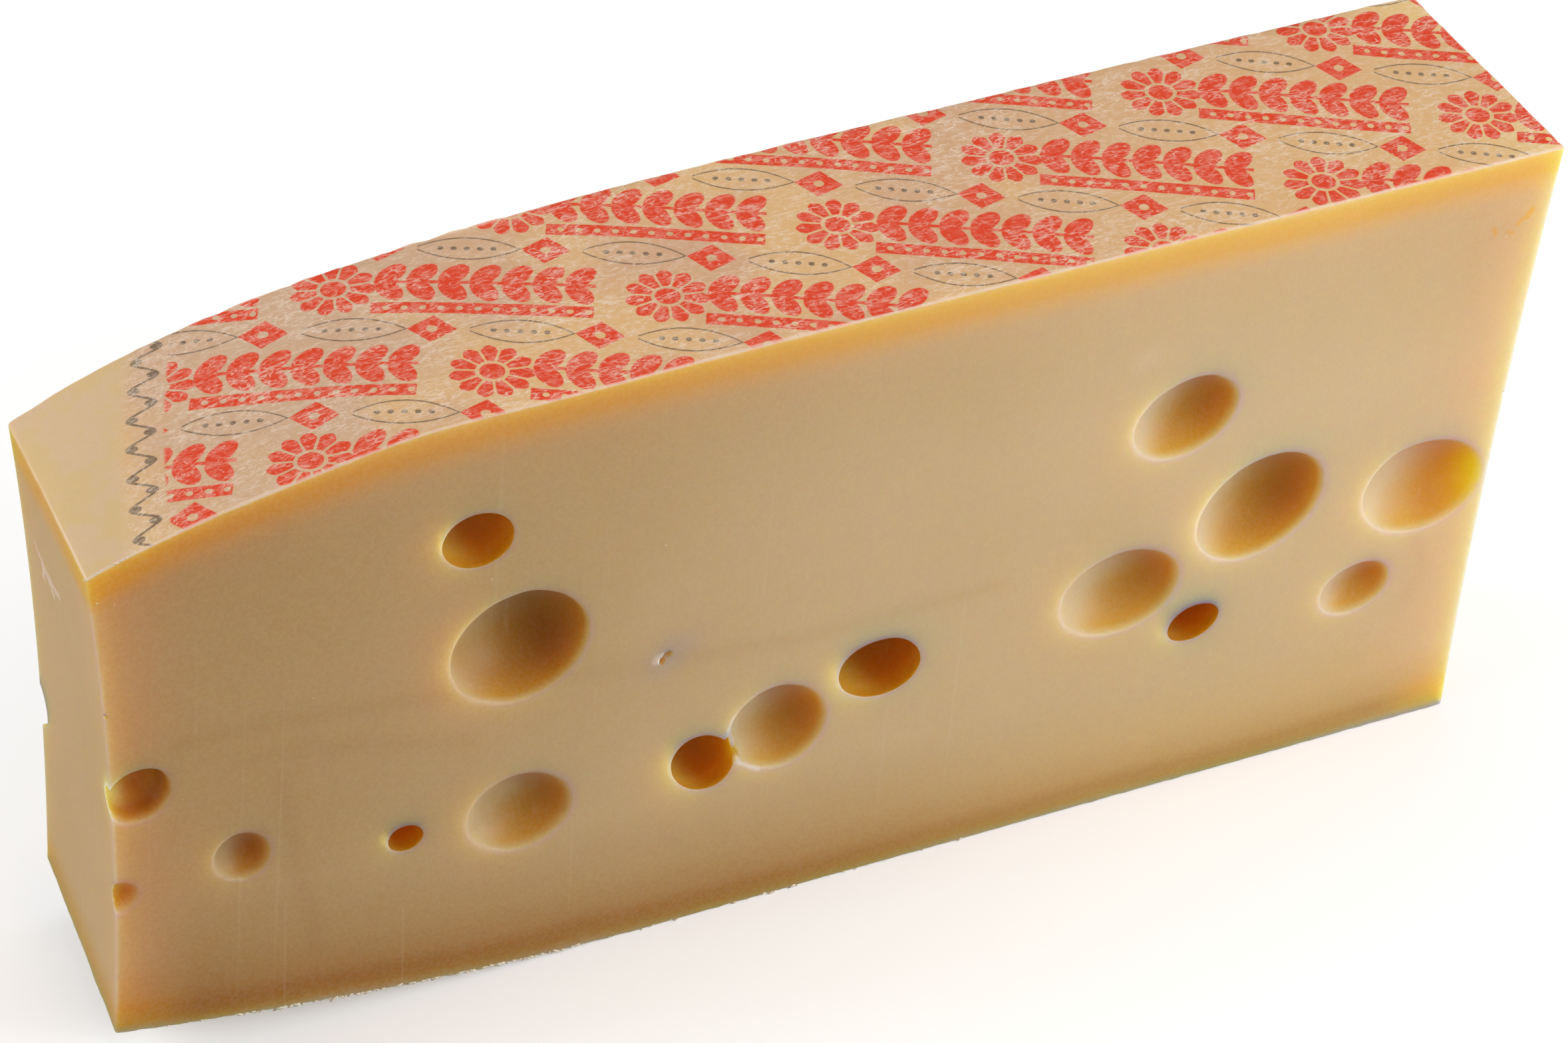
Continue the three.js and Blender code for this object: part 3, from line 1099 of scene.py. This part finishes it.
def paint_eye_shade(tree, colour):
    """Painted shade in the eyes: bowls golden, caves dark amber up to their rims, and a painted
    highlight pales the rims on their lit side.
    """
    outer = fade_by(tree, "wheel_share", OUTER_PART)
    inland = fade_by(tree, "corner_gap", INLAND)
    colour = paint_bowl_shade(tree, colour, outer, inland)
    colour = paint_corner_eye_glow(tree, colour, outer, inland)
    # painted shade inside the caves
    amber = blend(fade_by(tree, "rim_gap", CAVE_GILDS), CAVE_MOUTH_SHADE, CAVE_DEEP_SHADE)
    colour = blend(stored(tree, "cave"), colour, amber)
    # painted highlight along the rims, on the side facing the light
    rim = times(near(tree, "rim_gap", EYE_RIM), near(tree, "shaded_side", RIM_LIT_SIDE))
    return tinted(rim, colour, RIM_HIGHLIGHT)


def tint_edges(tree, colour):
    """Thin corners let light through: that light is painted here, paler and less yellow at thin
    corners, sharp edges and the outer end cut; the film leaves a pale edge along the top.
    """
    colour = tinted(near(tree, "corner_gap", THIN_CORNER), colour, CORNER_PAINTED_LIGHT)
    colour = tinted(near(tree, "corner_gap", SHARP_CORNER), colour, EDGE_HIGHLIGHT)
    # painted light on the outer end cut
    end = times(stored(tree, "end_cut"), fade_by(tree, "wheel_share", OUTER_PART))
    colour = tinted(end, colour, END_CUT_PAINTED_LIGHT)
    top = near(tree, "top_gap", UNDER_TOP_EDGE, FILM_EDGE_SHARE)
    return blend(top, colour, FILM_EDGE)


def draw_marks(tree, colour, spot):
    """Dents, a bruise, scratches, cracks and torn places, each where it lies on the block."""
    colour = tinted(stored(tree, "smear"), colour, SMEAR_TINT)
    colour = blend(times(stored(tree, "bruise"), BRUISE_SHARE), colour, BRUISE)
    for lines, soft, share, shade in LINE_MARKS:
        colour = blend(times(marks(spot, lines, soft), share), colour, shade)
    rough = minus(cloud(spot, 0.55, 2.0, 0.65), 0.5)
    rough = times(rough, LEFT_SMEAR_RAGGED)
    smear = marks(spot, LEFT_SMEAR, LEFT_SMEAR_SOFT, rough)
    colour = blend(times(smear, LEFT_SMEAR_SHARE), colour, TORN_LILAC)
    smudge = times(marks(spot, SMUDGES, SMUDGE_SOFT), SMUDGE_SHARE)
    return blend(smudge, colour, SCRATCH_PALE), smear


CLOUD_SPAN = (0.3, 0.7)
GRAIN_SPAN = (0.3, 0.7)
BAND_RAGGED = 5.0
DRAG_STRETCH = (1.0, 1.0, 0.012)
DRAG_SCALE = 0.42
DRAG_SPAN = (0.66, 0.80)
DRAG_SHARE = 0.07
GRAIN_SHARE = 0.06
PASTE_ROUGHNESS = (0.46, 0.56)
PASTE_BODY = {
    "Subsurface Weight": 1.0,
    "Subsurface Radius": (1.0, 0.55, 0.13),
    "Subsurface Scale": 0.045,
    "IOR": 1.42,
    "Specular IOR Level": 0.25,
}


def make_paste(mottle):
    finish, tree, shader = new_finish("cut paste")
    spot = corner_point(tree)
    curd = use_group(tree, mottle, Cloud_Scale=11.0, Grain_Scale=1100.0)
    # painted shade: the paste darkens towards the wheel's rim, where the light falls off
    colour = blend(fade_by(tree, "wheel_share", PASTE_SHADES_OUTWARD), PASTE_CORE, PASTE_RIM_AND_SHADE)
    colour = tinted(fade(curd.outputs["Cloud"], *CLOUD_SPAN), colour, PASTE_DARKER)
    ragged = times(minus(curd.outputs["Cloud"], 0.5), BAND_RAGGED)
    colour = tint_bands(tree, colour, ragged)
    colour = paint_eye_shade(tree, colour)
    colour = tint_edges(tree, colour)
    colour, smear = draw_marks(tree, colour, spot)
    drags = cloud(placed(spot, scale=DRAG_STRETCH), DRAG_SCALE, 1.0)
    colour = blend(fade(drags, *DRAG_SPAN, 0.0, DRAG_SHARE), colour, SCRATCH_PALE)
    grain = fade(curd.outputs["Grain"], *GRAIN_SPAN, 0.0, GRAIN_SHARE)
    colour = blend(grain, colour, SCRATCH_PALE)
    roughness = fade(curd.outputs["Grain"], *GRAIN_SPAN, *PASTE_ROUGHNESS)
    set_sockets(shader, {"Base Color": colour, "Roughness": roughness, **PASTE_BODY})
    height = plus(curd.outputs["Grain"], times(drags, 0.6))
    height = plus(height, times(smear, 1.5))
    raise_surface(shader, height, strength=0.18, distance=0.0004)
    return finish


# ---- the printed film on the upper rind ----

FILM_TAN = (0.60, 0.352, 0.212, 1)
FILM_GREY = (0.60, 0.385, 0.24, 1)
FILM_YELLOW = (0.70, 0.43, 0.196, 1)
FILM_PALE = (0.80, 0.62, 0.48, 1)
RIND_YELLOW = (0.645, 0.455, 0.225, 1)
RIND_PINK = (0.65, 0.455, 0.275, 1)
FIBRE_PALE = (0.85, 0.70, 0.56, 1)
PRINT_RED = (0.72, 0.058, 0.018, 1)
PRINT_GREY = (0.15, 0.10, 0.06, 1)
ROW_TURN = math.radians(28)
ROW_SHIFT = (1600, 1600, 0)      # keeps the numbers of the rows above zero
ROW_PITCH = 33.0
REPEAT = 80.0
STAGGER = 0.5          # from row to row, as a share of the repeat
SMALL_REPEAT = 40.0
SMALL_STAGGER = 0.37
PRINT_REACH = 0.795    # of the wheel's radius; past it the film is bare
BORDER_RADIUS = 394.9
VINE_REPEAT = 11.0
VINE_SWING = 3.0
VINE_SLOPE = 0.6       # the stem slopes, so it is nearer than it measures
VINE_HALF = 0.42
BERRY_OUT = 0.55
BERRY_RADIUS = 1.0
FILM_ENDS = (0.810, 0.820)
INK_SOFT = 0.12


def repeated(value, step):
    """A coordinate that runs from minus to plus half a step, over and over."""
    share = calc("FRACT", ratio(plus(value, 400 * step), step))
    return times(minus(share, 0.5), step)


def print_cell(across, along, pitch, repeat, stagger):
    """Local coordinates of the motif that a point falls on, rows pitch apart."""
    rows = ratio(across, pitch)
    b = times(minus(calc("FRACT", rows), 0.5), pitch)
    shift = times(calc("FLOOR", rows), stagger)
    columns = plus(ratio(along, repeat), shift)
    a = times(minus(calc("FRACT", columns), 0.5), repeat)
    return a, b


def inside(distance):
    """1 where a distance is below zero, with a soft printed edge."""
    return fade(distance, -INK_SOFT, INK_SOFT, 1.0, 0.0)


def bar(a, b, centre_a, centre_b, half_a, half_b):
    da = minus(apart(a, centre_a), half_a)
    db = minus(apart(b, centre_b), half_b)
    return largest(da, db)


def length_of(a, b):
    return calc("SQRT", plus(times(a, a), times(b, b)))


LEAF_REPEAT = 7.6
LEAF_LEAN = math.radians(55)
LEAF_OUT = 3.1         # how far a leaf's middle lies from its stem
LEAF_HALF = (4.9, 2.8)
STEM_HALF = 0.6
STEM_UP = 2.6
SPRIG_MIDDLE = 7.6
SPRIG_HALF = (3.5 * LEAF_REPEAT, 8.0)
RULE_UP = -7.9
RULE_HALF = (3.5 * LEAF_REPEAT, 2.2)
RULE_DOT_STEP = 4.4
RULE_DOT = 0.85

DAISY_MIDDLE = -28.5
PETALS = 11
PETAL_START = 8.0      # from the daisy's middle
PETAL_LENGTH = 2.4
PETAL_GAP = 0.34
DAISY_RING = 3.6
DAISY_RING_HALF = 0.5

GEM_MIDDLE = 11.0
GEM_HALF = (6.0, 5.4)
GEM_HOLE = 1.3
LENS_MIDDLE = -8.0
LENS_HALF = (12.8, 4.4)
LENS_LINE = 0.26
LENS_DOT_STEP = 3.2
LENS_DOT = 0.75
LENS_DOTS_HALF = (8.0, 2.0)


def leaf_sprig(a, b):
    """A stem with pairs of slanting leaves."""
    cell = repeated(plus(a, 0.5 * LEAF_REPEAT), LEAF_REPEAT)
    off = apart(b, STEM_UP)
    side = minus(off, LEAF_OUT)
    ahead, aside = math.cos(LEAF_LEAN), math.sin(LEAF_LEAN)
    u = plus(times(cell, ahead), times(side, aside))
    v = minus(times(side, ahead), times(cell, aside))
    egg = length_of(ratio(u, LEAF_HALF[0]), ratio(v, LEAF_HALF[1]))
    leaves = times(minus(egg, 1.0), 2.0)
    return least(leaves, minus(off, STEM_HALF))


def dotted_rule(a, b):
    """A solid bar with a row of round gaps in it."""
    over = minus(b, RULE_UP)
    dots = minus(RULE_DOT, length_of(repeated(a, RULE_DOT_STEP), over))
    return largest(bar(a, b, SPRIG_MIDDLE, RULE_UP, *RULE_HALF), dots)


def daisy(a, b):
    """A flower of round petals with slim gaps between them and a ring in its middle."""
    da = minus(a, DAISY_MIDDLE)
    r = length_of(da, b)
    angle = calc("ARCTAN2", b, da)
    petals = calc("ABSOLUTE", calc("COSINE", times(angle, PETALS / 2)))
    edge = plus(times(petals, PETAL_LENGTH), PETAL_START)
    flower = times(minus(r, edge), 0.8)
    ring = minus(DAISY_RING_HALF, apart(r, DAISY_RING))
    turns = times(angle, PETALS / (2 * math.pi))
    arc = times(times(repeated(turns, 1.0), r), 2 * math.pi / PETALS)
    slot = minus(PETAL_GAP, calc("ABSOLUTE", arc))
    slot = least(slot, minus(r, DAISY_RING))
    return largest(flower, largest(ring, slot))


def lozenge(a, b, centre_a, half_a, half_b):
    da = ratio(apart(a, centre_a), half_a)
    db = ratio(calc("ABSOLUTE", b), half_b)
    return times(minus(plus(da, db), 1.0), half_b)


def pointed_lens(a, b, centre_a, half_a, half_b):
    da = ratio(minus(a, centre_a), half_a)
    db = ratio(calc("ABSOLUTE", b), half_b)
    reach = plus(times(da, da), db)
    return times(minus(reach, 1.0), half_b)


def small_row(c, d):
    """Red gems with a hole, between long grey lenses with a row of dots in each."""
    hole = minus(GEM_HOLE, length_of(minus(c, GEM_MIDDLE), d))
    gems = largest(lozenge(c, d, GEM_MIDDLE, *GEM_HALF), hole)
    outline = calc("ABSOLUTE", pointed_lens(c, d, LENS_MIDDLE, *LENS_HALF))
    start = 0.5 * LENS_DOT_STEP - LENS_MIDDLE
    dots = length_of(repeated(plus(c, start), LENS_DOT_STEP), d)
    row = bar(c, d, LENS_MIDDLE, 0.0, *LENS_DOTS_HALF)
    dots = largest(minus(dots, LENS_DOT), row)
    return gems, least(minus(outline, LENS_LINE), dots)


def print_masks(spot):
    """Where the red and the grey ink lie."""
    along, across = split_plane(placed(spot, turn=(0, 0, ROW_TURN), location=ROW_SHIFT))
    a, b = print_cell(across, along, ROW_PITCH, REPEAT, STAGGER)
    body = bar(a, b, SPRIG_MIDDLE, STEM_UP, *SPRIG_HALF)
    sprig = largest(leaf_sprig(a, b), body)
    half_across = plus(across, 0.5 * ROW_PITCH)
    c, d = print_cell(half_across, along, ROW_PITCH, SMALL_REPEAT, SMALL_STAGGER)
    gems, grey = small_row(c, d)
    red = least(sprig, dotted_rule(a, b), daisy(a, b), gems)
    return inside(red), inside(grey)


def border_mask(spot):
    """A dark vine round the wheel where the print ends: a waving stem, berries in its bends."""
    x, y = split_plane(placed(spot, location=(-AXIS_X, -AXIS_Y, 0)))
    off = minus(length_of(x, y), BORDER_RADIUS)
    arc = times(calc("ARCTAN2", y, x), BORDER_RADIUS)
    wave = calc("SINE", times(arc, 2 * math.pi / VINE_REPEAT))
    stem = apart(off, times(wave, VINE_SWING))
    stem = minus(times(stem, VINE_SLOPE), VINE_HALF)
    berries = []
    for side in (1, -1):
        there = repeated(plus(arc, side * VINE_REPEAT / 4), VINE_REPEAT)
        gap = length_of(there, minus(off, side * BERRY_OUT * VINE_SWING))
        berries.append(minus(gap, BERRY_RADIUS))
    return inside(least(stem, least(*berries)))


YELLOW_CLOUDS = (0.42, 0.66)
YELLOW_REACH = (0.24, 0.55)
GREY_REACH = (0.55, 0.75)
BUTTER_REACH = (0.0, 28.0)
BUTTER_SHARE = 0.7
GREY_SHARE = 0.85
FROST_SHARE = 0.26
HAIR_SHARE = 0.55
PINK_SCALE = 0.075
PINKS = (0.42, 0.6)
FRAYED_REACH = (0.2, 1.1)
FRAYED_SHARE = 0.75
FILM_ROUGHNESS = (0.5, 0.66)
FILM_BODY = {
    "Subsurface Weight": 0.25,
    "Subsurface Radius": (1.0, 0.5, 0.18),
    "Subsurface Scale": 0.003,
    "Specular IOR Level": 0.2,
}


def film_ground(tree, cloud_tone):
    """The film's tone: tan, greyer outwards, yellow in clouds, and near the corners lighter and
    yellower, a painted glow.
    """
    yellow = fade(cloud_tone, *YELLOW_CLOUDS)
    yellow = largest(yellow, near(tree, "wheel_share", YELLOW_REACH))
    tan = blend(fade_by(tree, "wheel_share", GREY_REACH), FILM_TAN, FILM_GREY)
    ground = blend(yellow, tan, FILM_YELLOW)
    # painted glow near the corners
    return blend(near(tree, "corner_gap", BUTTER_REACH, BUTTER_SHARE), ground, FILM_CORNER_GLOW)


def frosted(colour, web, frost_share, hair_share):
    """The film's frost and hairs laid over a colour."""
    for layer, share in (("Frost", frost_share), ("Hairs", hair_share)):
        colour = blend(times(web.outputs[layer], share), colour, FIBRE_PALE)
    return colour


def make_film(mottle, fibres):
    finish, tree, shader = new_finish("printed film on rind")
    spot = corner_point(tree)
    curd = use_group(tree, mottle, Cloud_Scale=19.0, Grain_Scale=900.0)
    web = use_group(tree, fibres, Hair_Scale=700.0, Frost_Scale=600.0)
    ground = film_ground(tree, curd.outputs["Cloud"])
    red, grey = print_masks(spot)
    printed = near(tree, "wheel_share", (PRINT_REACH - 0.001, PRINT_REACH + 0.001))
    colour = blend(times(red, printed), ground, PRINT_RED)
    grey = largest(times(grey, printed), border_mask(spot))
    colour = blend(times(grey, GREY_SHARE), colour, PRINT_GREY)
    colour = frosted(colour, web, FROST_SHARE, HAIR_SHARE)
    pinks = fade(cloud(spot, PINK_SCALE, 2.0, 0.6), *PINKS)
    bare = blend(pinks, RIND_YELLOW, RIND_PINK)
    colour = blend(fade_by(tree, "wheel_share", FILM_ENDS), colour, bare)
    colour = blend(near(tree, "side_gap", FRAYED_REACH, FRAYED_SHARE), colour, FILM_PALE)
    roughness = fade(web.outputs["Frost"], 0.0, 1.0, *FILM_ROUGHNESS)
    set_sockets(shader, {"Base Color": colour, "Roughness": roughness, **FILM_BODY})
    height = plus(web.outputs["Hairs"], times(curd.outputs["Grain"], 0.4))
    raise_surface(shader, height, strength=0.22, distance=0.0003)
    return finish


# ---- the lower rind and the crumbs ----

LOWER_RIND = (0.55, 0.36, 0.19, 1)
LOWER_RIND_PALE = (0.64, 0.46, 0.27, 1)
LOWER_CLOUDS = (0.35, 0.7)
LOWER_FROST_SHARE = 0.3
LOWER_HAIR_SHARE = 0.4
LOWER_ROUGHNESS = (0.55, 0.7)
CRUMB_DARK = (0.78, 0.60, 0.44, 1)
CRUMB_PALE = (0.86, 0.72, 0.58, 1)
CRUMB_ROUGHNESS = (0.5, 0.65)


def make_rind(mottle, fibres):
    finish, tree, shader = new_finish("lower rind")
    curd = use_group(tree, mottle, Cloud_Scale=16.0, Grain_Scale=700.0)
    web = use_group(tree, fibres, Hair_Scale=420.0, Frost_Scale=300.0)
    clouds = fade(curd.outputs["Cloud"], *LOWER_CLOUDS)
    colour = blend(clouds, LOWER_RIND, LOWER_RIND_PALE)
    colour = frosted(colour, web, LOWER_FROST_SHARE, LOWER_HAIR_SHARE)
    roughness = fade(curd.outputs["Grain"], *GRAIN_SPAN, *LOWER_ROUGHNESS)
    settings = {"Base Color": colour, "Roughness": roughness, "Specular IOR Level": 0.25}
    set_sockets(shader, settings)
    raise_surface(shader, web.outputs["Hairs"], strength=0.3, distance=0.0003)
    return finish


def make_crumb_finish(mottle):
    finish, tree, shader = new_finish("torn crumb")
    curd = use_group(tree, mottle, Cloud_Scale=300.0, Grain_Scale=1500.0)
    colour = blend(curd.outputs["Cloud"], CRUMB_DARK, CRUMB_PALE)
    roughness = fade(curd.outputs["Grain"], *GRAIN_SPAN, *CRUMB_ROUGHNESS)
    body = {"Subsurface Weight": 0.3, "Subsurface Scale": 0.001}
    set_sockets(shader, {"Base Color": colour, "Roughness": roughness, **body})
    return finish


# ---- the studio ----

FOCAL = 155.2
SENSOR = 36.0
CAMERA_YAW = -29.743
CAMERA_PITCH = -38.778
CAMERA_ROLL = -5.23
CAMERA_SPOT = (-450.2, -1112.5, 1153.3)
ROOM_GLOW = 0.27
FLOOR_HALF = 6.0
FLOOR_FINISH = {
    "Base Color": (0.93, 0.93, 0.93, 1),
    "Roughness": 0.8,
    "Emission Color": (1, 1, 1, 1),
    "Emission Strength": 0.2,
}
# Each light: its name, its place in metres, how wide and high it is, and its watts.
LIGHTS = [
    ("far key", (1.95, -1.15, 1.15), 1.5, 26),
    ("near key", (1.0, -0.95, 0.55), 0.6, 11.5),
    ("overhead", (0.1, 0.3, 1.5), 1.0, 4),
    ("back left", (-1.2, 0.6, 0.8), 0.8, 12),
    ("left", (-1.5, -0.1, 0.5), 0.8, 4),
]
LIGHT_AIM = Vector((0.0, 0.0, 0.08))


def make_camera():
    data = bpy.data.cameras.new("camera")
    data.lens = FOCAL
    data.sensor_width = SENSOR
    data.sensor_fit = "HORIZONTAL"
    data.clip_start = 0.05
    data.clip_end = 30.0
    camera = bpy.data.objects.new("camera", data)
    bpy.context.scene.collection.objects.link(camera)
    turn = (
        Matrix.Rotation(math.radians(CAMERA_YAW), 3, "Z")
        @ Matrix.Rotation(math.radians(CAMERA_PITCH), 3, "X")
        @ Matrix.Rotation(math.radians(CAMERA_ROLL), 3, "Y")
        @ Matrix.Rotation(math.radians(90), 3, "X")
    )
    camera.matrix_world = Matrix.Translation(TO_FRAME @ Vector(CAMERA_SPOT)) @ turn.to_4x4()
    bpy.context.scene.camera = camera


def make_light(name, spot, size, watts):
    data = bpy.data.lights.new(name, "AREA")
    data.shape = "RECTANGLE"
    data.size = size
    data.size_y = size
    data.energy = watts
    light = bpy.data.objects.new(name, data)
    bpy.context.scene.collection.objects.link(light)
    light.location = spot
    light.rotation_mode = "QUATERNION"
    light.rotation_quaternion = (LIGHT_AIM - Vector(spot)).to_track_quat("-Z", "Y")


def make_floor():
    bm = bmesh.new()
    bmesh.ops.create_grid(bm, x_segments=1, y_segments=1, size=FLOOR_HALF)
    floor = new_object("floor", bm)
    finish, tree, shader = new_finish("pale floor")
    set_sockets(shader, FLOOR_FINISH)
    floor.data.materials.append(finish)
    floor.visible_diffuse = False
    floor.visible_glossy = False


def make_studio():
    scene = bpy.context.scene
    scene.view_settings.view_transform = "Standard"
    world = bpy.data.worlds.new("soft room")
    world.use_nodes = True
    background = world.node_tree.nodes["Background"]
    background.inputs["Color"].default_value = (1, 1, 1, 1)
    background.inputs["Strength"].default_value = ROOM_GLOW
    scene.world = world
    make_floor()
    for light in LIGHTS:
        make_light(*light)


# ---- assembly ----

mottle = make_mottle()
fibres = make_fibres()
block = make_block([make_paste(mottle), make_film(mottle, fibres), make_rind(mottle, fibres)])
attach(block, "root")
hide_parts("cheese")
crumbs = make_crumbs(make_crumb_finish(mottle))
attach(crumbs, "root")
make_camera()
make_studio()
